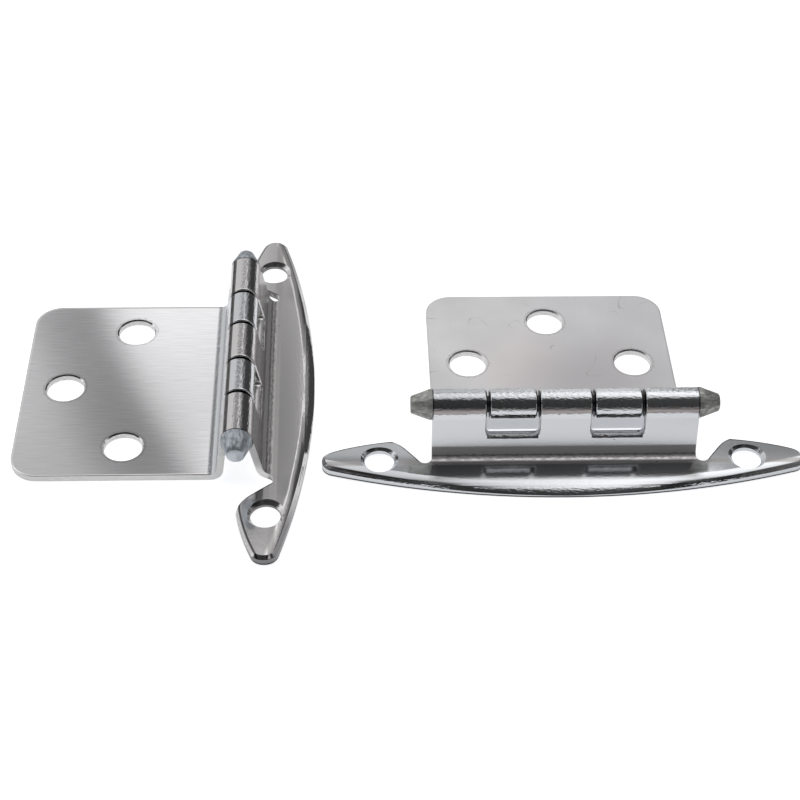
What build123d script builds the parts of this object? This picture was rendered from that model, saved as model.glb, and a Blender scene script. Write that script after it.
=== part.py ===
"""A pair of flush hinges, opened flat, as they lie side by side on a table.

Millimetres. Each hinge is modelled about its own pin: X runs along the pin, +Y points to the
door leaf, -Y to the wing of the frame leaf, and Z is up from the table. The two finished hinges
are then laid square to each other, with the origin under the middle of the pair.
"""
import os
from math import cos, radians, sin

from build123d import *

# Sheet, pin and barrel
sheet = 1.0
pin_height = 8.32
pin_radius = 1.2
pin_clearance = 0.05
barrel_length = 38.3
middle_knuckle = 7.5
door_knuckle = 6.8
knuckle_gap = 0.4
roll_turn = 294.0
cut_edge_break = 0.28

# Cone heads of the pin
head_length = 3.1
head_land = 0.35
head_tip_radius = 1.24
head_tip_break = 0.15

# Web of each leaf: lean from upright, bend into the flat, lower edge of its cut-outs
frame_web_lean = 12.0
frame_bend_radius = 1.5
door_web_lean = 8.0
door_bend_radius = 0.9
sill_height = 4.9
sill_corner = 0.6

# Wing of the frame leaf
wing_length = 70.0
wing_reach = 10.7
wing_bow_radius = 122.0
wing_top = 1.48
wing_crown = 0.6
wing_lip = 1.0
rim_run = 0.5
rim_drop = 0.48
nose_run = 1.4
nose_radius = 3.2
nose_tilt = 15.0
tip_height = 2.9
tip_round = 1.9
ear_reach = 0.7
ear_bow_radius = 36.0
ear_peak_round = 5.0
notch_radius = 1.0
notch_slope = 54.0
notch_past_bend = 0.05
wing_hole_spacing = 53.4
wing_hole_reach = 4.0
wing_hole_radius = 2.15
wing_sink_radius = 2.75
wing_sink_angle = 90.0

# Flat of the door leaf
door_leaf_width = 37.3
door_leaf_reach = 32.9
door_leaf_corner = 4.0
door_pair_spacing = 25.4
door_pair_reach = 17.0
door_single_reach = 26.7
door_hole_radius = 2.8
door_hole_break = 0.2

# How the two hinges lie: bare table between their wings, and how far in front the right one is
room_between = 1.16
front_of_left = 12.12

# Sizes that follow
bore_radius = pin_radius + pin_clearance
barrel_radius = bore_radius + sheet
barrel_half = barrel_length / 2
window_width = door_knuckle + 2 * knuckle_gap
window_from_middle = (middle_knuckle + window_width) / 2
wing_half = wing_length / 2
right_of_left = wing_reach + room_between + wing_half
barrel_top = pin_height + barrel_radius
pin_line = Axis((0, 0, pin_height), (1, 0, 0))

# Cuts across the pin are drawn with their first axis pointing from the pin to the leaf's flat
toward_wing = Plane((0, 0, 0), x_dir=(0, -1, 0), z_dir=(-1, 0, 0))
toward_door = Plane((0, 0, 0), x_dir=(0, 1, 0), z_dir=(1, 0, 0))


def bend_middle(lean, flat_top, bend_radius):
    """Centre of the bend whose web is tangent to the barrel: distance from the pin, and height."""
    height = flat_top + bend_radius
    drop = (pin_height - height) * sin(radians(lean))
    return (drop + barrel_radius + bend_radius) / cos(radians(lean)), height


def rolled_section(plane, lean, flat_top, bend_radius):
    """Bend, upright web and rolled knuckle of one leaf, cut across the pin."""
    middle = bend_middle(lean, flat_top, bend_radius)
    pin = (0, pin_height)
    with BuildSketch(plane) as section:
        with BuildLine():
            outer_bend = CenterArc(middle, bend_radius, 270, lean - 90)
            outer_roll = CenterArc(pin, barrel_radius, lean, roll_turn)
            inner_roll = CenterArc(pin, bore_radius, lean, roll_turn)
            inner_bend = CenterArc(middle, bend_radius + sheet, 270, lean - 90)
            Line(outer_bend @ 1, outer_roll @ 0)
            Line(outer_roll @ 1, inner_roll @ 1)
            Line(inner_roll @ 0, inner_bend @ 1)
            Line(inner_bend @ 0, outer_bend @ 0)
        make_face()
    return section.sketch


def cut_out(places, width):
    """Openings that leave a sill at the foot of a web, seen square to the web."""
    height = barrel_top + sheet - sill_height
    with BuildSketch(Plane.XZ) as opening:
        with Locations(*[(x, sill_height) for x in places]):
            Rectangle(width, height, align=(Align.CENTER, Align.MIN))
        fillet(opening.vertices().group_by(Axis.Y)[0], sill_corner)
    return opening.sketch


def knuckle_rims(part):
    """Outer edges of a leaf's knuckles, where they run beside another knuckle."""
    arcs = part.edges().filter_by(GeomType.CIRCLE).filter_by(lambda edge: abs(edge.normal().X) > 0.9)
    outer = arcs.filter_by(lambda edge: abs(edge.radius - barrel_radius) < pin_clearance)
    return outer.filter_by(lambda edge: abs(edge.arc_center.X) < barrel_half - knuckle_gap)


# Boat outline of the wing: front bow, blunt tips and the inner edges of the ears
tip_front = wing_bow_radius - (wing_bow_radius**2 - wing_half**2) ** 0.5 - wing_reach
tip_back = tip_front + tip_height
ear_rise = ear_reach - tip_back
ear_run = (2 * ear_bow_radius * ear_rise - ear_rise**2) ** 0.5
ear_flat_half = wing_half - ear_run
with BuildSketch() as boat:
    with BuildLine():
        bow = ThreePointArc((-wing_half, tip_front), (0, -wing_reach), (wing_half, tip_front))
        right_tip = Line(bow @ 1, (wing_half, tip_back))
        right_ear = RadiusArc(right_tip @ 1, (ear_flat_half, ear_reach), -ear_bow_radius)
        back = Line(right_ear @ 1, (-ear_flat_half, ear_reach))
        left_ear = RadiusArc(back @ 1, (-wing_half, tip_back), -ear_bow_radius)
        Line(left_ear @ 1, bow @ 0)
    make_face()
    fillet(boat.vertices().group_by(Axis.X)[0], tip_round)
    fillet(boat.vertices().group_by(Axis.X)[-1], tip_round)

# Crown of the wing: an arc across it, highest along the bend, lowest at the front of the bow
wing_bend_reach = bend_middle(frame_web_lean, wing_top, frame_bend_radius)[0]
crown_span = wing_reach - wing_bend_reach
crown_radius = (crown_span**2 + wing_crown**2) / (2 * wing_crown)


def above_crown(crown_top):
    """Everything above the crown's arc, drawn across the wing."""
    with BuildSketch(toward_wing) as space:
        with BuildLine():
            crown = CenterArc((wing_bend_reach, crown_top - crown_radius), crown_radius, 60, 60)
            up = Vector(0, crown_radius)
            Polyline(crown @ 1, crown @ 1 + up, crown @ 0 + up, crown @ 0)
        make_face()
    return space.sketch


# Nose of the bow: the middle of the front is rolled down further than the crown
nose_reach = wing_reach - nose_run
nose_top = wing_top - crown_radius + (crown_radius**2 - (nose_reach - wing_bend_reach) ** 2) ** 0.5
with BuildSketch(toward_wing) as above_nose:
    with BuildLine():
        inward = Vector(0, -nose_radius).rotate(Axis.Z, -nose_tilt)
        nose = CenterArc(Vector(nose_reach, nose_top) + inward, nose_radius, 90 - nose_tilt, -60)
        lead = nose @ 0 - (nose % 0) * nose_radius
        up = Vector(0, crown_radius)
        Polyline(nose @ 1, nose @ 1 + up, lead + up, lead, nose @ 0)
    make_face()

# Hollow under the wing, inside its turned-down lip
with BuildPart() as hollow:
    with BuildSketch():
        add(boat.sketch)
        offset(amount=-wing_lip, mode=Mode.REPLACE)
    extrude(amount=wing_top)
    extrude(above_crown(wing_top - sheet), amount=wing_half, both=True, mode=Mode.SUBTRACT)

# Notch between web and ear: straight side, round bottom past the bend, slanted side, round ear peak
slope = Vector(cos(radians(notch_slope)), sin(radians(notch_slope)))
notch_floor = wing_bend_reach + notch_past_bend
notch_corner = notch_floor - notch_radius + notch_radius * (1 + slope.Y) / slope.X
notch_low = Vector(barrel_half, -notch_corner)
ear_middle = Vector(ear_flat_half, ear_reach - ear_bow_radius)
from_middle = notch_low - ear_middle
along = from_middle.dot(slope)
slant = (along**2 - from_middle.dot(from_middle) + ear_bow_radius**2) ** 0.5 - along
ear_peak = notch_low + slope * slant
with BuildSketch() as notches:
    with BuildLine():
        Polyline(
            (barrel_half, barrel_length),
            notch_low,
            ear_peak,
            (wing_half, ear_peak.Y),
            (wing_half, barrel_length),
            close=True,
        )
    make_face()
    fillet(notches.vertices().sort_by_distance(notch_low)[0], notch_radius)
    fillet(notches.vertices().sort_by_distance(ear_peak)[0], ear_peak_round)
    mirror(about=Plane.YZ)

# Frame leaf: crowned wing, upright web with two windows, three knuckles
strip_half = barrel_half + notch_radius
with BuildPart() as frame_leaf:
    extrude(boat.sketch, amount=wing_top + sheet)
    extrude(above_crown(wing_top), amount=wing_half, both=True, mode=Mode.SUBTRACT)
    crown_face = frame_leaf.faces().sort_by(Axis.Z)[-1]
    chamfer(crown_face.edges(), rim_run, rim_drop, reference=crown_face)
    extrude(above_nose.sketch, amount=wing_half, both=True, mode=Mode.SUBTRACT)
    add(hollow.part, mode=Mode.SUBTRACT)
    with BuildSketch():
        with Locations((0, -wing_bend_reach)):
            Rectangle(2 * strip_half, barrel_length, align=(Align.CENTER, Align.MIN))
    extrude(amount=barrel_top, mode=Mode.SUBTRACT)
    frame_section = rolled_section(toward_wing, frame_web_lean, wing_top, frame_bend_radius)
    extrude(frame_section, amount=strip_half, both=True)
    extrude(notches.sketch, amount=barrel_top + sheet, mode=Mode.SUBTRACT)
    windows = cut_out((-window_from_middle, window_from_middle), window_width)
    extrude(windows, amount=barrel_length, both=True, mode=Mode.SUBTRACT)
    chamfer(knuckle_rims(frame_leaf), cut_edge_break)
    with Locations((0, -wing_hole_reach, wing_top)):
        with GridLocations(wing_hole_spacing, 0, 2, 1):
            CounterSinkHole(wing_hole_radius, wing_sink_radius, wing_top, wing_sink_angle)

# Door leaf: flat three-hole plate, upright web, two knuckles
door_bend_reach = bend_middle(door_web_lean, sheet, door_bend_radius)[0]
door_plate = door_leaf_reach - door_bend_reach
shoulder = (door_leaf_width - middle_knuckle) / 2 - window_width + knuckle_gap
with BuildPart() as door_leaf:
    with BuildSketch() as plate:
        with Locations((0, door_bend_reach)):
            Rectangle(door_leaf_width, door_plate, align=(Align.CENTER, Align.MIN))
        fillet(plate.vertices().group_by(Axis.Y)[-1], door_leaf_corner)
    extrude(amount=sheet)
    door_section = rolled_section(toward_door, door_web_lean, sheet, door_bend_radius)
    extrude(door_section, amount=door_leaf_width / 2, both=True)
    middle_gap = cut_out([0], middle_knuckle + 2 * knuckle_gap)
    extrude(middle_gap, amount=barrel_length, both=True, mode=Mode.SUBTRACT)
    shoulders = cut_out((-door_leaf_width / 2, door_leaf_width / 2), 2 * shoulder)
    extrude(shoulders, amount=barrel_length, both=True, mode=Mode.SUBTRACT)
    chamfer(knuckle_rims(door_leaf), cut_edge_break)
    pair_half = door_pair_spacing / 2
    hole_places = [(-pair_half, door_pair_reach), (pair_half, door_pair_reach), (0, door_single_reach)]
    with Locations(*[(x, y, sheet) for x, y in hole_places]):
        Hole(door_hole_radius)
    hole_rims = door_leaf.edges(Select.LAST).filter_by(GeomType.CIRCLE).group_by(Axis.Z)[-1]
    chamfer(hole_rims, door_hole_break)

# Hinge pin: plain shaft with a cone head formed on each end
head_end = barrel_half + head_length
with BuildPart() as hinge_pin:
    with BuildSketch(Plane.XZ) as half_pin:
        with BuildLine():
            Polyline(
                (0, pin_height),
                (0, pin_height + pin_radius),
                (barrel_half, pin_height + pin_radius),
                (barrel_half, barrel_top),
                (barrel_half + head_land, barrel_top),
                (head_end, pin_height + head_tip_radius),
                (head_end, pin_height),
                close=True,
            )
        make_face()
        tip_corner = half_pin.vertices().group_by(Axis.X)[-1].sort_by(Axis.Y)[-1]
        chamfer(tip_corner, head_tip_break)
        mirror(about=Plane.YZ)
    revolve(axis=pin_line)

# The left hinge lies with its pin across the right one's, door leaf outwards
pair_width = door_leaf_reach + right_of_left + wing_half
left_middle = door_leaf_reach - pair_width / 2
places = {
    "left": Location((left_middle, 0, 0), (0, 0, 90)),
    "right": Location((left_middle + right_of_left, -front_of_left, 0)),
}
pieces = {"frame_leaf": frame_leaf, "door_leaf": door_leaf, "hinge_pin": hinge_pin}

os.makedirs("parts", exist_ok=True)
for side, place in places.items():
    for name, piece in pieces.items():
        laid = piece.part.moved(place)
        laid.label = f"{side}_{name}"
        export_step(laid, f"parts/{side}_{name}.step")
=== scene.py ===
"""Looks of a pair of flush hinges: chrome frame leaves, satin door leaves, dull pins. Metres."""
import math

import bmesh
import bpy
from mathutils import Matrix, Vector


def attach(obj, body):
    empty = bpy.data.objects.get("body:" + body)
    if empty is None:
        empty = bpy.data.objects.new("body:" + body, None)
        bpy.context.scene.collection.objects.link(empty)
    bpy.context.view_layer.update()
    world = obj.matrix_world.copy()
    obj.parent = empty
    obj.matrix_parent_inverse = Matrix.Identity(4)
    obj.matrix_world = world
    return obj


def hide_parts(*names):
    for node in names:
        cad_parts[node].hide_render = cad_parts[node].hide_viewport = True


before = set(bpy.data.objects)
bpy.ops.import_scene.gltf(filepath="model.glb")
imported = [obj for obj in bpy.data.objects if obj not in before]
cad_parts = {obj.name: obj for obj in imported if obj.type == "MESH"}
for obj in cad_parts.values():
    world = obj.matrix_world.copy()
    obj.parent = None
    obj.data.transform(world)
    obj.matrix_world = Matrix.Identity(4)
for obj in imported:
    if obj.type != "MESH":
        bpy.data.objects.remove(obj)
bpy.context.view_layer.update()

MM = 0.001

# Camera, fitted to both hinges in the photograph
LENS = 78.128
ELEVATION = 43.045
AZIMUTH = 2.574
ROLL = 1.309
DISTANCE = 261.614 * MM
AIM = Vector((-0.921 * MM, -2.228 * MM, 0.0))
CLIP_START = 0.01

# Where each hinge lies: the middle of its barrel on the table, and how its own axes turn
HINGES = {
    "left": Matrix.Translation((-24.48 * MM, 0, 0)) @ Matrix.Rotation(math.radians(90), 4, "Z"),
    "right": Matrix.Translation((22.38 * MM, -12.12 * MM, 0)),
}

# Sizes of each hinge in mm, about the middle of its barrel: across the pin and up from the table
PIN = (0.0, 8.32)
PIN_END, SHAFT_END = 22.2, 19.1
BARREL, BORE = 2.25, 1.25
WING_BEND = (-4.9692, 2.98)
DOOR_BEND = (4.0832, 1.9)
WING_TOP = 1.6
SILL = 4.9
WINDOW, WINDOW_HALF = 7.55, 3.7
DOOR_HALF, DOOR_REACH, DOOR_CORNER = 18.65, 32.9, 4.0
DOOR_PAIR, DOOR_ONE = (12.7, 17), (0, 26.7)
BOW_MIDDLE, BOW_RADIUS = 111.3, 122.0
NOSE_START, NOSE_CURVE = 8.927, 2.83
CROWN_CURVE = 27.672
EAR_MIDDLE, EAR_BOW, EAR_PEAK, EAR_SLANT = (20.03, -35.3), 35.45, 5.0, 19.665
EAR_SIDE = (0.809, -0.588, 0)

# Round surfaces that run along each pin, as places across the hinge and radii:
# barrel, bore, bends, crown and nose
ROUNDS = [
    (*PIN, BARREL), (*PIN, BORE), (*WING_BEND, 1.5), (*WING_BEND, 2.5),
    (*DOOR_BEND, 0.9), (*DOOR_BEND, 1.9),
    (-4.9688, -26.1919, 27.6719), (-8.4718, -1.9520, 3.2),
]

# Patterns, as how many go into a metre, from their sizes
WAVES = 700.0  # unevenness of the polished sheet, about 1.4 mm
PEBBLES = 3600.0  # skin of worked metal, about 0.28 mm
PITS = 420.0  # cells of about 2.4 mm, some with a pit
BRUSHING = (7000, 260, 1)  # lines about 0.14 mm wide, as fine as the picture shows, and 4 mm long
PATCHES = 110.0  # patches of wear, about 9 mm
SCRATCHES = 150.0  # curved scratches, in loops of about 7 mm
BREAKS = 230.0  # what is left of them, in lengths of about 4 mm
GRIT = 2500.0  # frayed edge of the rings round the holes, about 0.4 mm
MOTTLE = 1600.0  # mottled zinc, about 0.6 mm
STREAKS = (600, 2600, 2600)  # marks of the forming tool, about 0.4 mm wide and 1.7 mm long

# Depths of relief in mm
WAVE_DEPTH, PEBBLE_DEPTH, FINE_DEPTH = 0.005, 0.04, 0.002
SILL_FALL = 0.27
BRUSH_DEPTH = 0.004
ZINC_DEPTH = 0.012

# Looks of the chrome in mm. Fades: what is measured, start, end, and the share at each.
# Bands: what is measured, middle and half the width. Overlaps: a look where two others meet.
CHROME_FADES = {
    "rolled": ("from_pin", 2.3, 2.6, 1.0, 0.0),
    "pressed": ("up", 0.95, 1.1, 1.0, 0.0),
    "grained": ("up", 1.2, 1.42, 0.22, 0.0),
    # The ends of the roll get painted shade
    "roll_end": ("aside", 18.92, 19.05, 0.0, 1.0),
}
# The band along the back of the roll is painted shade, a dark line behind the barrel
CHROME_BANDS = {"roll_back_shade": ("across", 1.55, 0.27)}
CHROME_OVERLAPS = (("roll_end", "roll_end", "rolled"), ("roll_back_shade", "roll_back_shade", "rolled"))

# The same for the wing and its web, whose marks have edges ragged by so many mm, the crease's
# painted shade among them
RAGGED = {"sill_height": 0.2, "crease_height": 0.6, "fold_height": 0.3}
WING_FADES = {
    "sill": ("sill_height", SILL - 0.4, SILL + 0.04, 0.0, 1.0),
    "bend": ("from_bend", 1.53, 1.62, 1.0, 0.0),
    "over_foot": ("up", 1.6, 1.75, 0.0, 1.0),
    "crown": ("up", 1.5, 1.7, 1.0, 0.0),
    "crown_rough": ("up", 1.5, 1.7, 0.13, 0.06),
    "web": ("up", 3.0, 3.4, 0.0, 1.0),
    # Painted reflection: the wing's top next to the bend is darkened into a band
    "bend_reflection": ("across", -8.5, -7.9, 0.0, 1.0),
    "middle": ("aside", 18.5, 20, 1.0, 0.0),
    "ear": ("aside", 20.7, 21.1, 0.0, 1.0),
    # The rim near the tips is darkened as painted shade
    "rim": ("from_bow", BOW_RADIUS - 0.62, BOW_RADIUS - 0.5, 0.0, 1.0),
    "tips": ("aside", 22, 29, 0.0, 0.9),
    "rim_top": ("up", 0.72, 0.82, 0.0, 1.0),
    # Painted contact shadow along the lowest edge of the lip
    "foot_shadow": ("up", 0.2, 0.32, 1.0, 0.0),
}
WING_BANDS = {
    "window": ("aside", WINDOW, WINDOW_HALF),
    "foot_line": ("up", 1.62, 0.11),
    "fold": ("fold_height", 2.05, 0.09),
    # Painted shade in the crease where the web runs into the roll
    "crease_shade": ("crease_height", 9.18, 0.48),
}
WING_OVERLAPS = (
    ("sill", "sill", "window"), ("dull", "bend", "over_foot"), ("crease_shade", "crease_shade", "front"),
    ("bend_reflection", "bend_reflection", "crown"), ("bend_reflection", "bend_reflection", "middle"),
    ("grains", "grains", "middle"), ("grains", "grains", "foot_line"), ("fold", "fold", "bend"),
    ("outline", "outline", "ear"), ("rim", "rim", "tips"), ("rim", "rim", "rim_top"),
    ("pits", "pits", "some_cells"),
)
WEB_FRONT = -1.9  # mm across the hinge, ahead of which the web starts to roll
EAR_FLAT, CROWN_FLAT = (19, 24), 0.36  # where the ears begin, and the share on the crown
# How sharply the two sides of an ear meet, and where its painted dark edge and its bevel begin
EAR_SHARP, EAR_EDGE, EAR_BEVEL = 12.0, (0.62, 0.74), 1.3
GRAIN_LEVELS, GRAIN_SHARE = (0.42, 0.6), 0.8  # pebbles that are pale grains in the bend
PIT_SIZE, PIT_SHARE = 0.045, 0.62  # part of a cell, and the cells that have none
WING_ROUGH = (("web", 0.25), ("bend", 0.3), ("dull", 0.7), ("crease_shade", 0.3))
PLAIN_ROUGH, SHEARED_ROUGH = 0.06, 0.8
# Painted shade in the slots between the knuckles, at the ends of the roll and on the pin's shaft in
# the barrel
GAP_SHADE = "#4C4B4D"

# Stains of the worn door leaf: place on the hinge and reach in mm, strength and colour
STAINS = (
    (-5.5, 17, 11, 0.85, "#E6DBDB"), (6.5, 12, 17, 0.8, "#C4C1C3"), (-19, 26, 26, 0.95, "#FFFFFF"),
)
STAIN_START = 1.5  # mm from its middle, where a stain starts to fade
# How the leaf's slope along the pin changes along and across it, per metre, and its start
TWIST_LINE, TWIST_SHIFT = (2.022, -5.455, 0), 0.13
BORDER = 0.3  # width in mm of the outline that the shears drew down
FLAT_START = (4.3, 4.6)  # mm across the hinge, where the web ends and the satin begins
# Scuffed rings: radius, half the width and raggedness in mm, and strength
RING, RING_HALF, RING_RAGGED, RING_SHARE = 3.6, 0.13, 0.8, 0.4
ZINC_LEVELS, ZINC_ROUGH = (0.55, 0.95), (0.5, 0.35)  # dark and light grain, and its roughness

# Shading of the solids: degrees at which an edge stays crisp, high up and on the flats,
# how alike the faces of one flat are, the least flat in square metres, room about a round in mm
CRISP, CRISP_LOW = 50, 30
SAME_FLAT, LARGE_FLAT = 0.999995, 8e-6
ROUND_ROOM, ROUND_FACING = 0.006, 0.9
# Sheared faces: how far they face along the pin, or how little up, heights in mm of the door
# sheet's edge, the lip and the knuckles' foot, and how sheared the knuckles' sides look
CUT_FACING, SLOT_FACING, EDGE_FACING = 0.95, 0.9, 0.3
EDGE_TOP, LIP_TOP, KNUCKLE_FOOT, SILL_ROOM = 1.05, 1, 5, 0.05
KNUCKLE_SHEAR = 0.35
MERGE = 0.002  # corners of the solid's facets closer than this, in mm, are one


def srgb(text):
    """Linear colour of an sRGB hex value."""
    values = [int(text[i:i + 2], 16) / 255 for i in (1, 3, 5)]
    linear = [v / 12.92 if v <= 0.04045 else ((v + 0.055) / 1.055) ** 2.4 for v in values]
    return (*linear, 1.0)


def add_node(tree, kind, values=(), links=(), **settings):
    """Adds a node, sets its properties, its input values and the links into its inputs."""
    node = tree.nodes.new(kind)
    for name, value in settings.items():
        setattr(node, name, value)
    for name, value in dict(values).items():
        node.inputs[name].default_value = value
    for name, socket in dict(links).items():
        tree.links.new(socket, node.inputs[name])
    return node


def new_material(name):
    """An empty material, with its tree and its output node."""
    material = bpy.data.materials.new(name)
    material.use_nodes = True
    material.node_tree.nodes.clear()
    output = add_node(material.node_tree, "ShaderNodeOutputMaterial")
    return material, material.node_tree, output


def measures(tree):
    """Where a point lies on its hinge: along, aside of and across the middle of the pin, and up."""
    place = add_node(tree, "ShaderNodeAttribute", attribute_name="place").outputs["Vector"]
    axes = add_node(tree, "ShaderNodeSeparateXYZ", (), {"Vector": place}).outputs
    aside = add_node(tree, "ShaderNodeMath", (), {0: axes["X"]},
                     operation="ABSOLUTE").outputs["Value"]
    plan = add_node(tree, "ShaderNodeCombineXYZ", (), {"X": aside, "Y": axes["Y"]})
    return {"place": place, "along": axes["X"], "across": axes["Y"], "up": axes["Z"],
            "aside": aside, "plan": plan.outputs["Vector"]}


def add_looks(tree, look, fades, bands, overlaps):
    """Adds the looks of three tables to those that are there."""
    for name, (measure, start, end, first, last) in fades.items():
        look[name] = add_node(
            tree, "ShaderNodeMapRange",
            {"From Min": start * MM, "From Max": end * MM, "To Min": first, "To Max": last},
            {"Value": look[measure]}).outputs["Result"]
    for name, (measure, middle, half) in bands.items():
        look[name] = add_node(tree, "ShaderNodeMath", {1: middle * MM, 2: half * MM},
                              {0: look[measure]}, operation="COMPARE").outputs["Value"]
    for name, first, second in overlaps:
        look[name] = add_node(tree, "ShaderNodeMath", (), {0: look[first], 1: look[second]},
                              operation="MULTIPLY").outputs["Value"]


def ear_outline(tree, look):
    """The back edge of the ears, where slanted side and long bow run into a round peak."""
    bow = add_node(tree, "ShaderNodeVectorMath", {1: (EAR_MIDDLE[0] * MM, EAR_MIDDLE[1] * MM, 0)},
                   {0: look["plan"]}, operation="DISTANCE").outputs["Value"]
    bow = add_node(tree, "ShaderNodeMath", {1: 1 / (EAR_PEAK * MM), 2: 1 - EAR_BOW / EAR_PEAK},
                   {0: bow}, operation="MULTIPLY_ADD").outputs["Value"]
    bow = add_node(tree, "ShaderNodeMath", {1: 0.0}, {0: bow}, operation="MAXIMUM").outputs["Value"]
    slant = add_node(tree, "ShaderNodeVectorMath", {1: EAR_SIDE}, {0: look["plan"]},
                     operation="DOT_PRODUCT").outputs["Value"]
    slant = add_node(tree, "ShaderNodeMath", {1: -1 / (EAR_PEAK * MM), 2: 1 + EAR_SLANT / EAR_PEAK},
                     {0: slant}, operation="MULTIPLY_ADD", use_clamp=True).outputs["Value"]
    bow, slant = (add_node(tree, "ShaderNodeMath", {1: EAR_SHARP}, {0: share},
                           operation="POWER").outputs["Value"] for share in (bow, slant))
    peak = add_node(tree, "ShaderNodeMath", (), {0: bow, 1: slant},
                    operation="ADD").outputs["Value"]
    bevel = add_node(tree, "ShaderNodeMath", {1: EAR_BEVEL}, {0: peak},
                     operation="GREATER_THAN").outputs["Value"]
    edge = add_node(tree, "ShaderNodeMapRange", {"From Min": EAR_EDGE[0], "From Max": EAR_EDGE[1]},
                    {"Value": peak}).outputs["Result"]
    return add_node(tree, "ShaderNodeMath", (), {0: edge, 1: bevel}, operation="SUBTRACT",
                    use_clamp=True).outputs["Value"]


def wing_looks(tree, look):
    """Adds where the wing and its web are bent, cut or pitted, and where reflection and shade are
    painted on them.
    """
    look["from_bend"] = add_node(
        tree, "ShaderNodeVectorMath", {1: (0, WING_BEND[0] * MM, WING_BEND[1] * MM)},
        {0: look["section"]}, operation="DISTANCE").outputs["Value"]
    look["from_bow"] = add_node(
        tree, "ShaderNodeVectorMath", {1: (0, BOW_MIDDLE * MM, 0)},
        {0: look["plan"]}, operation="DISTANCE").outputs["Value"]
    for name, amount in RAGGED.items():
        look[name] = add_node(tree, "ShaderNodeMath", {1: amount * MM},
                              {0: look["pebbles"], 2: look["up"]},
                              operation="MULTIPLY_ADD").outputs["Value"]
    look["front"] = add_node(tree, "ShaderNodeMath", {1: WEB_FRONT * MM}, {0: look["across"]},
                             operation="LESS_THAN").outputs["Value"]
    look["grains"] = add_node(
        tree, "ShaderNodeMapRange",
        {"From Min": GRAIN_LEVELS[0], "From Max": GRAIN_LEVELS[1], "To Max": GRAIN_SHARE},
        {"Value": look["pebbles"]}).outputs["Result"]
    cells = add_node(tree, "ShaderNodeTexVoronoi", {"Scale": PITS}, {"Vector": look["place"]})
    look["pits"] = add_node(tree, "ShaderNodeMath", {1: PIT_SIZE}, {0: cells.outputs["Distance"]},
                            operation="LESS_THAN").outputs["Value"]
    look["some_cells"] = add_node(tree, "ShaderNodeMath", {1: PIT_SHARE},
                                  {0: cells.outputs["Color"]},
                                  operation="GREATER_THAN").outputs["Value"]
    look["lip"] = add_node(tree, "ShaderNodeAttribute", attribute_name="lip").outputs["Fac"]
    # The ears' back edges are painted dark
    look["outline"] = ear_outline(tree, look)
    add_looks(tree, look, WING_FADES, WING_BANDS, WING_OVERLAPS)
    look["web"] = add_node(tree, "ShaderNodeMath", (), {0: look["web"], 1: look["rolled"]},
                           operation="SUBTRACT", use_clamp=True).outputs["Value"]


def wing_relief(tree, look, relief):
    """The wing's rim rolls down all along its bow, its ears are flat and its sills rounded."""
    for reach, start, sign in ((look["from_bow"], BOW_MIDDLE + NOSE_START, -1),
                               (look["across"], -NOSE_START, 1)):
        past = add_node(tree, "ShaderNodeMath", {1: start * MM}, {0: reach},
                        operation="SUBTRACT").outputs["Value"]
        past = add_node(tree, "ShaderNodeMath", {1: -sign}, {0: past}, operation="MULTIPLY",
                        use_clamp=True).outputs["Value"]
        drop = add_node(tree, "ShaderNodeMath", {1: 2.0}, {0: past},
                        operation="POWER").outputs["Value"]
        relief = add_node(tree, "ShaderNodeMath", {1: sign * 0.5 / (NOSE_CURVE * MM)},
                          {0: drop, 2: relief}, operation="MULTIPLY_ADD").outputs["Value"]
    flat = add_node(tree, "ShaderNodeMapRange",
                    {"From Min": EAR_FLAT[0] * MM, "From Max": EAR_FLAT[1] * MM,
                     "To Min": CROWN_FLAT},
                    {"Value": look["aside"]}, interpolation_type="SMOOTHSTEP").outputs["Result"]
    fall = add_node(tree, "ShaderNodeMath", {1: -WING_BEND[0] * MM}, {0: look["across"]},
                    operation="ADD").outputs["Value"]
    fall = add_node(tree, "ShaderNodeMath", {1: 0.0}, {0: fall},
                    operation="MINIMUM").outputs["Value"]
    fall = add_node(tree, "ShaderNodeMath", (), {0: fall, 1: fall},
                    operation="MULTIPLY").outputs["Value"]
    fall = add_node(tree, "ShaderNodeMath", (), {0: fall, 1: flat},
                    operation="MULTIPLY").outputs["Value"]
    for amount, form in ((0.5 / (CROWN_CURVE * MM), fall), (-SILL_FALL * MM, look["sill"])):
        relief = add_node(tree, "ShaderNodeMath", {1: amount}, {0: form, 2: relief},
                          operation="MULTIPLY_ADD").outputs["Value"]
    return relief


def wing_plate(tree, look, colour, lip, bend_reflection_tone):
    """Colour and roughness of the wing and its web, from the plain plate to the marks, painted
    reflection and painted shade laid over it.
    """
    # The plate starts with the painted reflection next to the bend
    plate = add_node(tree, "ShaderNodeMix", {6: srgb(colour), 7: srgb(bend_reflection_tone)},
                     {"Factor": look["bend_reflection"]}, data_type="RGBA").outputs[2]
    # Of the tones below, the crease, ear outline, rim, lip and foot are painted shade
    for name, tone in (
            ("bend", "#BDBABA"), ("dull", "#C6C5C6"), ("grains", "#F6F3F3"), ("fold", "#9A9798"),
            ("crease_shade", "#B3ACAC"), ("outline", "#6A686B"), ("rim", "#7A787A"), ("lip", lip),
            ("foot_shadow", "#4A4A4E"), ("pits", "#5A5757")):
        plate = add_node(tree, "ShaderNodeMix", {7: srgb(tone)}, {"Factor": look[name], 6: plate},
                         data_type="RGBA").outputs[2]
    rough = look["crown_rough"]
    for name, amount in WING_ROUGH:
        rough = add_node(tree, "ShaderNodeMix", {"B": amount}, {"Factor": look[name], "A": rough})
        rough = rough.outputs["Result"]
    return plate, rough
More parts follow.
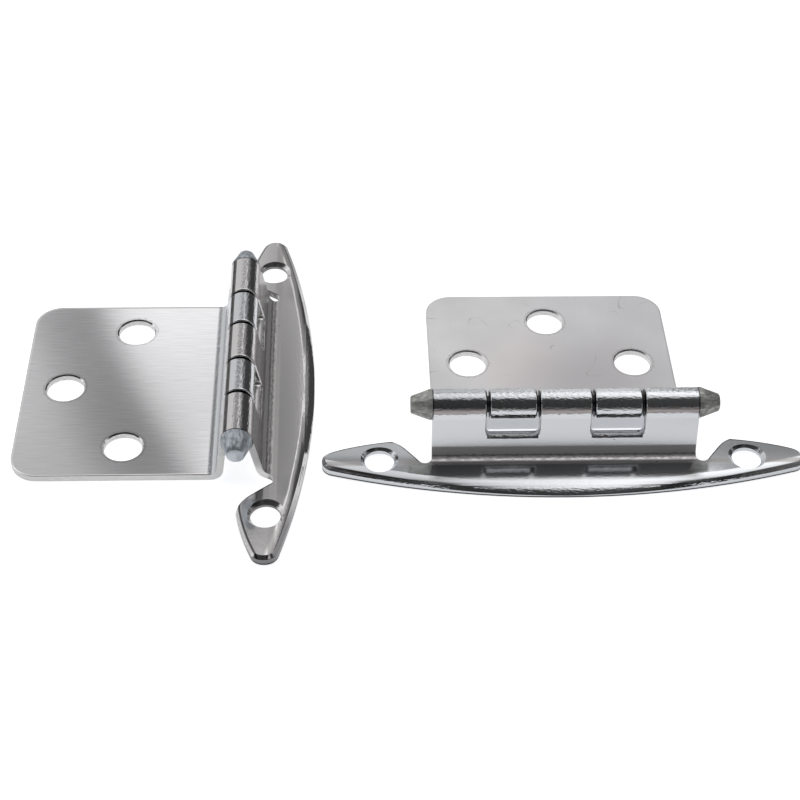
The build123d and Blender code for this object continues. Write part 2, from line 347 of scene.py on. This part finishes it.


# Bright chrome plate: a hard mirror, pebbled where the sheet was rolled or pressed, pale and rough
# where it was sheared, with painted shade in the slots, at the ends of the roll and along its back.
# The wing's plate is darker and dull in the bend, and pitted. It carries a painted reflection, a
# dark band next to the bend, painted shade in the crease under the roll, on the rim near the tips
# and on the lip, a painted contact shadow along its foot, and painted dark back edges on its ears.
def chrome_surface(tree, colour, lip=None, bend_reflection_tone=None):
    look = measures(tree)
    for name in ("sheared", "slot_wall"):
        look[name] = add_node(tree, "ShaderNodeAttribute", attribute_name=name).outputs["Fac"]
    look["section"] = add_node(tree, "ShaderNodeMapping", {"Scale": (0, 1, 1)},
                               {"Vector": look["place"]}).outputs["Vector"]
    look["from_pin"] = add_node(tree, "ShaderNodeVectorMath", {1: (0, PIN[0] * MM, PIN[1] * MM)},
                                {0: look["section"]}, operation="DISTANCE").outputs["Value"]
    waves = add_node(tree, "ShaderNodeTexNoise", {"Scale": WAVES, "Detail": 2.0},
                     {"Vector": look["place"]}).outputs["Fac"]
    drawn = add_node(tree, "ShaderNodeMapping", {"Scale": (0.4, 1, 1)},
                     {"Vector": look["place"]}).outputs["Vector"]
    look["pebbles"] = add_node(tree, "ShaderNodeTexNoise", {"Scale": PEBBLES, "Detail": 2.0},
                               {"Vector": drawn}).outputs["Fac"]
    add_looks(tree, look, CHROME_FADES, CHROME_BANDS, CHROME_OVERLAPS)
    worked = look["rolled"]
    for name in ("pressed", "grained"):
        worked = add_node(tree, "ShaderNodeMath", (), {0: worked, 1: look[name]},
                          operation="MAXIMUM").outputs["Value"]
    # Painted shade on the slot walls and at the ends of the roll
    look["gap_shade"] = add_node(tree, "ShaderNodeMath", (),
                             {0: look["slot_wall"], 1: look["roll_end"]},
                             operation="MAXIMUM").outputs["Value"]
    depth = add_node(tree, "ShaderNodeMath", {1: PEBBLE_DEPTH * MM, 2: FINE_DEPTH * MM},
                     {0: worked}, operation="MULTIPLY_ADD").outputs["Value"]
    pebbled = add_node(tree, "ShaderNodeMath", (), {0: look["pebbles"], 1: depth},
                       operation="MULTIPLY").outputs["Value"]
    relief = add_node(tree, "ShaderNodeMath", {1: WAVE_DEPTH * MM}, {0: waves, 2: pebbled},
                      operation="MULTIPLY_ADD").outputs["Value"]
    shear_rough = add_node(tree, "ShaderNodeMix", {"A": PLAIN_ROUGH, "B": SHEARED_ROUGH},
                           {"Factor": look["sheared"]})
    shear_plate = add_node(tree, "ShaderNodeMix", {6: srgb(colour), 7: srgb("#FBFBFA")},
                           {"Factor": look["sheared"]}, data_type="RGBA")
    if lip:
        wing_looks(tree, look)
        relief = wing_relief(tree, look, relief)
        plate, rough = wing_plate(tree, look, colour, lip, bend_reflection_tone)
        tree.links.new(rough, shear_rough.inputs["A"])
        tree.links.new(plate, shear_plate.inputs[6])
    plate = shear_plate.outputs[2]
    # Painted shade: a dark line along the roll's back, and darkness in the slots and at the roll's
    # ends
    for name, tone in (("roll_back_shade", "#6E6C6D"), ("gap_shade", GAP_SHADE)):
        plate = add_node(tree, "ShaderNodeMix", {7: srgb(tone)}, {"Factor": look[name], 6: plate},
                         data_type="RGBA").outputs[2]
    bump = add_node(tree, "ShaderNodeBump", {"Strength": 1.0, "Distance": 1.0}, {"Height": relief})
    return add_node(tree, "ShaderNodeBsdfPrincipled", {"Metallic": 1.0},
                    {"Base Color": plate, "Roughness": shear_rough.outputs["Result"],
                     "Normal": bump.outputs["Normal"]}).outputs["BSDF"]


# Satin plate: fine brush lines across the leaf grey its shine, over a sheet that is not quite flat.
# The worn leaf has stains, soft clouds, fine curved scratches and a scuffed ring round each hole.
def satin_surface(tree, brushing, warp, rough, edge_fall, tint):
    look = measures(tree)
    stroke = add_node(tree, "ShaderNodeMapping", {"Scale": BRUSHING}, {"Vector": look["place"]})
    lines = add_node(tree, "ShaderNodeTexNoise", {"Scale": 1.0, "Detail": 3.0},
                     {"Vector": stroke.outputs["Vector"]}).outputs["Fac"]
    patches = add_node(tree, "ShaderNodeTexNoise", {"Scale": PATCHES, "Detail": 2.0},
                       {"Vector": look["place"]}).outputs["Fac"]
    combed = add_node(tree, "ShaderNodeMapRange",
                      {"From Min": 0.35, "From Max": 0.65, "To Min": 0.3, "To Max": 1.0},
                      {"Value": patches}).outputs["Result"]
    depth = add_node(tree, "ShaderNodeMath", {1: brushing * BRUSH_DEPTH * MM}, {0: combed},
                     operation="MULTIPLY").outputs["Value"]
    grooves = add_node(tree, "ShaderNodeMath", (), {0: lines, 1: depth},
                       operation="MULTIPLY").outputs["Value"]
    # The sheet is twisted a little, most along a line across the leaf
    twist = add_node(tree, "ShaderNodeVectorMath", {1: TWIST_LINE}, {0: look["place"]},
                     operation="DOT_PRODUCT").outputs["Value"]
    twist = add_node(tree, "ShaderNodeMath", {1: TWIST_SHIFT}, {0: twist},
                     operation="ADD").outputs["Value"]
    twist = add_node(tree, "ShaderNodeMath", (), {0: twist, 1: look["along"]},
                     operation="MULTIPLY").outputs["Value"]
    sheet = add_node(tree, "ShaderNodeMath", {1: warp}, {0: twist, 2: grooves},
                     operation="MULTIPLY_ADD").outputs["Value"]
    # Its outline was drawn down a little by the shears
    corner = ((DOOR_HALF - DOOR_CORNER) * MM, (DOOR_REACH - DOOR_CORNER) * MM, 0)
    past = add_node(tree, "ShaderNodeVectorMath", {1: corner}, {0: look["plan"]},
                    operation="SUBTRACT").outputs["Vector"]
    past = add_node(tree, "ShaderNodeVectorMath", {1: (0, 0, 0)}, {0: past},
                    operation="MAXIMUM").outputs["Vector"]
    out = add_node(tree, "ShaderNodeVectorMath", (), {0: past},
                   operation="LENGTH").outputs["Value"]
    border = add_node(tree, "ShaderNodeMapRange",
                      {"From Min": (DOOR_CORNER - BORDER) * MM,
                       "From Max": DOOR_CORNER * MM}, {"Value": out}).outputs["Result"]
    fall = add_node(tree, "ShaderNodeMath", {1: 2.0}, {0: border},
                    operation="POWER").outputs["Value"]
    relief = add_node(tree, "ShaderNodeMath", {1: -edge_fall * MM}, {0: fall, 2: sheet},
                      operation="MULTIPLY_ADD").outputs["Value"]
    bump = add_node(tree, "ShaderNodeBump", {"Strength": 1.0, "Distance": 1.0}, {"Height": relief})
    tone = add_node(tree, "ShaderNodeMapRange",
                    {"From Min": 0.3, "From Max": 0.7, "To Min": 0.5 - 0.5 * brushing,
                     "To Max": 0.5 + 0.5 * brushing}, {"Value": lines}).outputs["Result"]
    colour = add_node(tree, "ShaderNodeMix", {6: srgb("#DFDEE0"), 7: srgb("#F5F4F6")},
                      {"Factor": tone}, data_type="RGBA").outputs[2]
    overlays = []
    for x, y, reach, share, shade in STAINS:
        near = add_node(tree, "ShaderNodeVectorMath", {1: (x * MM, y * MM, 1 * MM)},
                        {0: look["place"]}, operation="DISTANCE").outputs["Value"]
        stain = add_node(tree, "ShaderNodeMapRange",
                         {"From Min": STAIN_START * MM, "From Max": reach * MM,
                          "To Min": share * tint, "To Max": 0.0},
                         {"Value": near}, interpolation_type="SMOOTHSTEP").outputs["Result"]
        overlays.append((stain, shade))
    cloud = add_node(tree, "ShaderNodeMapRange",
                     {"From Min": 0.4, "From Max": 0.65, "To Min": 0.0, "To Max": 0.22 * tint},
                     {"Value": patches}).outputs["Result"]
    overlays.append((cloud, "#CBC8CA"))
    swirl, breaks = (add_node(tree, "ShaderNodeTexNoise", {"Scale": scale, "Detail": 1.0},
                              {"Vector": look["place"]}).outputs["Fac"]
                     for scale in (SCRATCHES, BREAKS))
    scratch = add_node(tree, "ShaderNodeMath", {1: 0.55, 2: 0.005}, {0: swirl},
                       operation="COMPARE").outputs["Value"]
    lengths = add_node(tree, "ShaderNodeMapRange",
                       {"From Min": 0.56, "From Max": 0.66, "To Min": 0.0, "To Max": 0.45 * tint},
                       {"Value": breaks}).outputs["Result"]
    scratch = add_node(tree, "ShaderNodeMath", (), {0: scratch, 1: lengths},
                       operation="MULTIPLY").outputs["Value"]
    to_pair, to_one = (add_node(tree, "ShaderNodeVectorMath", {1: (x * MM, y * MM, 0)},
                                {0: look["plan"]}, operation="DISTANCE").outputs["Value"]
                       for x, y in (DOOR_PAIR, DOOR_ONE))
    to_hole = add_node(tree, "ShaderNodeMath", (), {0: to_pair, 1: to_one},
                       operation="MINIMUM").outputs["Value"]
    grit = add_node(tree, "ShaderNodeTexNoise", {"Scale": GRIT, "Detail": 2.0},
                    {"Vector": look["place"]}).outputs["Fac"]
    frayed = add_node(tree, "ShaderNodeMath", {1: RING_RAGGED * MM}, {0: grit, 2: to_hole},
                      operation="MULTIPLY_ADD").outputs["Value"]
    ring = add_node(tree, "ShaderNodeMath", {1: RING * MM, 2: RING_HALF * MM}, {0: frayed},
                    operation="COMPARE").outputs["Value"]
    worn = add_node(tree, "ShaderNodeMath", {1: RING_SHARE}, {0: ring, 2: scratch},
                    operation="MULTIPLY_ADD", use_clamp=True).outputs["Value"]
    overlays.append((worn, "#B0ADAE"))
    for share, shade in overlays:
        colour = add_node(tree, "ShaderNodeMix", {7: srgb(shade)}, {"Factor": share, 6: colour},
                          data_type="RGBA").outputs[2]
    return add_node(tree, "ShaderNodeBsdfPrincipled", {"Metallic": 1.0, "Roughness": rough},
                    {"Base Color": colour, "Normal": bump.outputs["Normal"]}).outputs["BSDF"]


def bright_chrome(name, colour, lip, bend_reflection_tone):
    """Frame leaf: chrome all over, with the painted shade of its lip and the tone of the painted
    reflection next to its bend.
    """
    material, tree, output = new_material(name)
    tree.links.new(chrome_surface(tree, colour, lip, bend_reflection_tone), output.inputs["Surface"])
    return material


def satin_plate(name, brushing, warp, rough, edge_fall, tint):
    """Door leaf: satin on the flat, bright on its knuckles and web, pale where it was sheared."""
    material, tree, output = new_material(name)
    place = add_node(tree, "ShaderNodeAttribute", attribute_name="place").outputs["Vector"]
    sheared = add_node(tree, "ShaderNodeAttribute", attribute_name="sheared").outputs["Fac"]
    across = add_node(tree, "ShaderNodeSeparateXYZ", (), {"Vector": place}).outputs["Y"]
    flat = add_node(tree, "ShaderNodeMapRange",
                    {"From Min": FLAT_START[0] * MM, "From Max": FLAT_START[1] * MM},
                    {"Value": across}).outputs["Result"]
    satin_share = add_node(tree, "ShaderNodeMath", (), {0: flat, 1: sheared},
                           operation="SUBTRACT", use_clamp=True).outputs["Value"]
    both = add_node(tree, "ShaderNodeMixShader", (), {
        0: satin_share, 1: chrome_surface(tree, "#DEE0E3"),
        2: satin_surface(tree, brushing, warp, rough, edge_fall, tint)})
    tree.links.new(both.outputs["Shader"], output.inputs["Surface"])
    return material


# Dull zinc plate: a mottled grey metal under a film, streaked along the cone by the tool that
# formed it, with a painted highlight that makes the tip pale and painted shade on the shaft inside
# the barrel
def dull_zinc(name, dark, light, metal):
    material, tree, output = new_material(name)
    look = measures(tree)
    mottle = add_node(tree, "ShaderNodeTexNoise",
                      {"Scale": MOTTLE, "Detail": 4.0, "Roughness": 0.65},
                      {"Vector": look["place"]}).outputs["Fac"]
    streaked = add_node(tree, "ShaderNodeMapping", {"Scale": STREAKS}, {"Vector": look["place"]})
    streaks = add_node(tree, "ShaderNodeTexNoise", {"Scale": 1.0, "Detail": 2.0},
                       {"Vector": streaked.outputs["Vector"]}).outputs["Fac"]
    grain = add_node(tree, "ShaderNodeMath", {1: 0.45}, {0: mottle, 2: streaks},
                     operation="MULTIPLY_ADD").outputs["Value"]
    shade, rough = (add_node(tree, "ShaderNodeMapRange",
                             {"From Min": ZINC_LEVELS[0], "From Max": ZINC_LEVELS[1],
                              "To Min": first, "To Max": last}, {"Value": grain}).outputs["Result"]
                    for first, last in ((0.0, 1.0), ZINC_ROUGH))
    colour = add_node(tree, "ShaderNodeMix", {6: srgb(dark), 7: srgb(light)}, {"Factor": shade},
                      data_type="RGBA").outputs[2]
    # Painted highlight on the tip, painted shade on the shaft inside the barrel
    for limit, test, tone in (
            (PIN_END, "GREATER_THAN", light), (SHAFT_END, "LESS_THAN", GAP_SHADE)):
        there = add_node(tree, "ShaderNodeMath", {1: limit * MM}, {0: look["aside"]},
                         operation=test).outputs["Value"]
        colour = add_node(tree, "ShaderNodeMix", {7: srgb(tone)}, {"Factor": there, 6: colour},
                          data_type="RGBA").outputs[2]
    bump = add_node(tree, "ShaderNodeBump", {"Strength": 1.0, "Distance": ZINC_DEPTH * MM},
                    {"Height": grain})
    shader = add_node(tree, "ShaderNodeBsdfPrincipled", {"Metallic": metal},
                      {"Base Color": colour, "Roughness": rough, "Normal": bump.outputs["Normal"]})
    tree.links.new(shader.outputs["BSDF"], output.inputs["Surface"])
    return material


def true_normals(bm, home):
    """Normals of every face corner: exact on flats and rounds, blended over small edge breaks."""
    turn = home.to_3x3()
    spot = {vert: home @ vert.co * 1000 for vert in bm.verts}
    facing = {face: turn @ face.normal for face in bm.faces}
    crisp = set()
    for edge in bm.edges:
        bend = math.degrees(edge.calc_face_angle(math.pi))
        low = max(spot[vert].z for vert in edge.verts) < WING_TOP
        if bend > CRISP or (low and bend > CRISP_LOW):
            crisp.add(edge)
    flat = {}
    for face in bm.faces:
        if face in flat:
            continue
        patch, queue = {face}, [face]
        while queue:
            for edge in queue.pop().edges:
                for other in edge.link_faces:
                    if other not in patch and facing[other].dot(facing[face]) > SAME_FLAT:
                        patch.add(other)
                        queue.append(other)
        large = sum(other.calc_area() for other in patch) > LARGE_FLAT
        flat.update((other, large) for other in patch)
    wrapped = {}
    for face in bm.faces:
        middle = sum((spot[vert] for vert in face.verts), Vector()) / len(face.verts)
        for y, z, radius in ROUNDS:
            away = Vector((0, middle.y - y, middle.z - z)).normalized()
            reaches = [math.hypot(spot[vert].y - y, spot[vert].z - z) for vert in face.verts]
            on_it = all(abs(reach - radius) < ROUND_ROOM for reach in reaches)
            if on_it and abs(facing[face].dot(away)) > ROUND_FACING:
                wrapped[face] = (y, z, 1 if facing[face].dot(away) > 0 else -1)
                break

    def exact(face, vert):
        if face in wrapped:
            y, z, sign = wrapped[face]
            return sign * Vector((0, spot[vert].y - y, spot[vert].z - z)).normalized()
        return facing[face] if flat[face] else None

    normals = []
    for face in bm.faces:
        for loop in face.loops:
            normal = exact(face, loop.vert)
            if normal is None:
                fan, queue = {face}, [face]
                while queue:
                    for edge in queue.pop().edges:
                        if loop.vert in edge.verts and edge not in crisp:
                            for other in edge.link_faces:
                                if other not in fan:
                                    fan.add(other)
                                    queue.append(other)
                known = [exact(other, loop.vert) for other in fan if exact(other, loop.vert)]
                if known:
                    normal = max(known, key=facing[face].dot)
                else:
                    normal = Vector()
                    for other in fan:
                        corner = next(l for l in other.loops if l.vert is loop.vert)
                        normal = normal + facing[other] * corner.calc_angle()
            normals.append((turn.transposed() @ normal).normalized())
    return normals


def plated_piece(node, body, side, material):
    """A smooth-shaded copy of a CAD node that knows its places on the hinge and its cut faces."""
    mesh = bpy.data.meshes.new_from_object(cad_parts[node])
    bm = bmesh.new()
    bm.from_mesh(mesh)
    bmesh.ops.remove_doubles(bm, verts=bm.verts, dist=MERGE * MM)
    bm.normal_update()
    home = HINGES[side].inverted()
    turn = home.to_3x3()
    place = bm.verts.layers.float_vector.new("place")
    sheared = bm.faces.layers.float.new("sheared")
    lip = bm.faces.layers.float.new("lip")
    slot_wall = bm.faces.layers.float.new("slot_wall")
    for vert in bm.verts:
        vert[place] = home @ vert.co
    for face in bm.faces:
        face.smooth = True
        facing = turn @ face.normal
        middle = home @ face.calc_center_median() / MM
        if "frame" in node:
            cut = middle.z > WING_TOP and abs(facing.x) > CUT_FACING
        elif "door" in node:
            cut = (abs(facing.x) > CUT_FACING or abs(middle.z - SILL) < SILL_ROOM
                   or (middle.z < EDGE_TOP and abs(facing.z) < EDGE_FACING))
        else:
            cut = False
        knuckle = "frame" in node or middle.z > KNUCKLE_FOOT
        face[sheared] = float(cut) * (KNUCKLE_SHEAR if knuckle else 1.0)
        from_pin = math.hypot(middle.y - PIN[0], middle.z - PIN[1])
        # Slot walls of the barrel, which the chrome darkens with painted shade
        in_slot = abs(facing.x) > SLOT_FACING and from_pin < BARREL
        face[slot_wall] = float("pin" not in node and in_slot)
        on_lip = middle.z < LIP_TOP and abs(facing.z) < EDGE_FACING
        face[lip] = float("frame" in node and on_lip)
    normals = true_normals(bm, home)
    bm.to_mesh(mesh)
    bm.free()
    mesh.normals_split_custom_set(normals)
    mesh.materials.clear()
    mesh.materials.append(material)
    piece = bpy.data.objects.new(f"{node}_plated", mesh)
    bpy.context.scene.collection.objects.link(piece)
    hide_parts(node)
    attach(piece, body)


# Lip tone: painted shade on the left, the plate's own tone on the right. The tone after it is the
# painted reflection next to the bend, which on the left is the plate's own
chrome = {
    "left": bright_chrome("warm_bright_chrome_plate", colour="#DEDCDC", lip="#8A898A",
                          bend_reflection_tone="#DEDCDC"),
    "right": bright_chrome("bright_chrome_plate", colour="#DEE0E3", lip="#DEE0E3",
                           bend_reflection_tone="#A9A9AB"),
}
zinc = {
    "left": dull_zinc("pale_zinc_plate", dark="#949CA4", light="#E2E9F0", metal=0.5),
    "right": dull_zinc("dull_zinc_plate", dark="#979794", light="#D6D6D1", metal=0.5),
}
satin = {
    "left": satin_plate("brushed_satin_plate", brushing=0.6, warp=1.0, rough=0.11,
                        edge_fall=0.13, tint=0.1),
    "right": satin_plate("worn_satin_plate", brushing=0.15, warp=0.0, rough=0.3,
                         edge_fall=0.015, tint=1.0),
}
for side in HINGES:
    plated_piece(f"{side}_frame_leaf", f"{side}_frame", side, chrome[side])
    plated_piece(f"{side}_door_leaf", "door_leaves", side, satin[side])
    plated_piece(f"{side}_hinge_pin", f"{side}_frame", side, zinc[side])


def sheet_of(name, corners, material):
    """A flat stage card through four corners."""
    mesh = bpy.data.meshes.new(name)
    mesh.from_pydata(corners, [], [(0, 1, 2, 3)])
    mesh.materials.append(material)
    card = bpy.data.objects.new(name, mesh)
    bpy.context.scene.collection.objects.link(card)


# Stage: a white table, brightest round the hinges and clean white to the camera
TABLE_FADES = {  # metres from the middle, start and end, and the brightness at each
    "pool": (0.06, 0.095, 0.5, 0.0),
    "paper": (0.05, 0.09, 0.88, 0.4),
    "clean": (0.05, 0.09, 0.8, 1.0),
}
table_white, table_tree, table_output = new_material("white_table")
ray = add_node(table_tree, "ShaderNodeLightPath")
spot = add_node(table_tree, "ShaderNodeTexCoord")
away = add_node(table_tree, "ShaderNodeVectorMath", (), {0: spot.outputs["Object"]},
                operation="LENGTH")
table = {}
for name, (start, end, first, last) in TABLE_FADES.items():
    table[name] = add_node(
        table_tree, "ShaderNodeMapRange",
        {"From Min": start, "From Max": end, "To Min": first, "To Max": last},
        {"Value": away.outputs["Value"]}).outputs["Result"]
paper = add_node(table_tree, "ShaderNodeBsdfDiffuse", (), {"Color": table["paper"]})
bright = add_node(table_tree, "ShaderNodeMix", (),
                  {"Factor": ray.outputs["Is Camera Ray"], "A": table["pool"],
                   "B": table["clean"]})
glow = add_node(table_tree, "ShaderNodeEmission", {"Color": srgb("#FCFDFF")},
                {"Strength": bright.outputs["Result"]})
lit = add_node(table_tree, "ShaderNodeAddShader", (),
               {0: paper.outputs["BSDF"], 1: glow.outputs["Emission"]})
table_tree.links.new(lit.outputs["Shader"], table_output.inputs["Surface"])
sheet_of("table", [(-3, -3, 0), (3, -3, 0), (3, 3, 0), (-3, 3, 0)], table_white)

# Light: a white tent, brightest overhead and to the right of the back, with a dark seam at the
# back and a dark front. Both sides of the front are pale walls, which the hinges mirror from
# behind.
HALF_TURN = 180
FRONT = (  # degrees over the tent, and brightness there
    (53, 1.05), (73, 0.94), (88, 0.76), (94, 0.46), (99, 0.17), (105, 0.06), (117, 0.045),
    (172, 0.035), (180, 0.3),
)
SEAM = (  # over the back to the front, through the seam
    (0, 0.66), (36, 0.66), (39, 0.6), (41, 0.4), (43, 0.34), (46.5, 0.26), (49, 0.95), *FRONT)
CLEAR = ((0, 0.66), (36, 0.7), (42, 0.85), (49, 1.0), *FRONT)  # the same beside the seam
ACROSS = (  # from the left to the right of the tent
    (-1, 1.0), (-0.2, 1.0), (-0.05, 0.8), (0, 0.8), (0.1, 1.0), (0.165, 1.35), (1, 1.35))
WALLS = ((-1, 0.5), (-0.58, 0.5), (-0.42, 0.0), (0.55, 0.0), (0.68, 0.5), (1, 0.5))
TENT_FADES = {  # what is measured, start and end, and the share at each
    "seam_left": ("X", -0.42, -0.28, 0.0, 1.0),
    "seam_right": ("X", 0.1, 0.13, 1.0, 0.0),
    "right_end": ("X", 0.33, 0.44, 1.0, 0.2),
    "overhead": ("Z", 0.6, 0.8, 0.0, 1.0),
    "low_back": ("over", 50 / 180, 56 / 180, 0.7, 0.0),
    "back_right": ("X", 0.17, 0.2, 0.0, 1.0),
    "wall_front": ("Y", -0.2, -0.45, 0.0, 1.0),
    "wall_top": ("Z", 0.38, 0.5, 1.0, 0.0),
}
world = bpy.data.worlds.new("white_tent")
world.use_nodes = True
tent_tree = world.node_tree
tent_tree.nodes.clear()
way = add_node(tent_tree, "ShaderNodeTexCoord")
tent_axes = add_node(tent_tree, "ShaderNodeSeparateXYZ", (), {"Vector": way.outputs["Generated"]})
tent = {name: tent_axes.outputs[name] for name in "XYZ"}
angle = add_node(tent_tree, "ShaderNodeMath", (), {0: tent["Z"], 1: tent["Y"]},
                 operation="ARCTAN2").outputs["Value"]
tent["over"] = add_node(tent_tree, "ShaderNodeMath", {1: math.pi}, {0: angle},
                        operation="DIVIDE").outputs["Value"]
tent["aside"] = add_node(tent_tree, "ShaderNodeMath", {1: 0.5, 2: 0.5}, {0: tent["X"]},
                         operation="MULTIPLY_ADD").outputs["Value"]
for name, (measure, start, end, first, last) in TENT_FADES.items():
    tent[name] = add_node(
        tent_tree, "ShaderNodeMapRange",
        {"From Min": start, "From Max": end, "To Min": first, "To Max": last},
        {"Value": tent[measure]}).outputs["Result"]


def tent_ramp(stops, reach, start, socket):
    """Brightness along one line of the tent."""
    ramp = add_node(tent_tree, "ShaderNodeValToRGB", (), {"Fac": socket})
    while len(ramp.color_ramp.elements) < len(stops):
        ramp.color_ramp.elements.new(0.5)
    for stop, (value, shine) in zip(ramp.color_ramp.elements, stops):
        stop.position = (value - start) / reach
        stop.color = (shine, shine, shine, 1)
    return ramp.outputs["Color"]


seam, clear = (tent_ramp(stops, HALF_TURN, 0, tent["over"]) for stops in (SEAM, CLEAR))
across, walls = (tent_ramp(stops, 2, -1, tent["aside"]) for stops in (ACROSS, WALLS))
for name, first, second, how in (
        ("seamed", "seam_left", "seam_right", "MULTIPLY"),
        ("kept", "right_end", "overhead", "MAXIMUM"),
        ("shaded", "low_back", "back_right", "MULTIPLY"),
        ("walled", "wall_front", "wall_top", "MULTIPLY")):
    tent[name] = add_node(tent_tree, "ShaderNodeMath", (), {0: tent[first], 1: tent[second]},
                          operation=how).outputs["Value"]
unshaded = add_node(tent_tree, "ShaderNodeMath", {0: 1.0}, {1: tent["shaded"]},
                    operation="SUBTRACT").outputs["Value"]
kept = add_node(tent_tree, "ShaderNodeMath", (), {0: tent["kept"], 1: unshaded},
                operation="MULTIPLY").outputs["Value"]
arch = add_node(tent_tree, "ShaderNodeMix", (), {"Factor": tent["seamed"], 6: clear, 7: seam},
                data_type="RGBA").outputs[2]
cloth = add_node(tent_tree, "ShaderNodeMix", {"Factor": 1.0}, {6: arch, 7: across},
                 data_type="RGBA", blend_type="MULTIPLY").outputs[2]
cloth, walls = (add_node(tent_tree, "ShaderNodeVectorMath", (), {0: shine, 1: share},
                         operation="MULTIPLY").outputs["Vector"]
                for shine, share in ((cloth, kept), (walls, tent["walled"])))
cloth = add_node(tent_tree, "ShaderNodeVectorMath", (), {0: cloth, 1: walls},
                 operation="MAXIMUM").outputs["Vector"]
light = add_node(tent_tree, "ShaderNodeBackground", (), {"Color": cloth})
add_node(tent_tree, "ShaderNodeOutputWorld", (), {"Surface": light.outputs["Background"]})
bpy.context.scene.world = world

# Camera at the photograph's place
tilt, turn, roll = (math.radians(v) for v in (ELEVATION, AZIMUTH, ROLL))
back = Vector((-math.cos(tilt) * math.sin(turn), -math.cos(tilt) * math.cos(turn), math.sin(tilt)))
level = Vector((math.cos(turn), -math.sin(turn), 0))
rise = back.cross(level)
right = math.cos(roll) * level + math.sin(roll) * rise
up = -math.sin(roll) * level + math.cos(roll) * rise
lens = bpy.data.cameras.new("camera")
lens.lens = LENS
lens.clip_start = CLIP_START
camera = bpy.data.objects.new("camera", lens)
facing = Matrix((right, up, back)).transposed().to_4x4()
camera.matrix_world = Matrix.Translation(AIM + DISTANCE * back) @ facing
bpy.context.scene.collection.objects.link(camera)
bpy.context.scene.camera = camera

bpy.context.scene.view_settings.view_transform = "Standard"
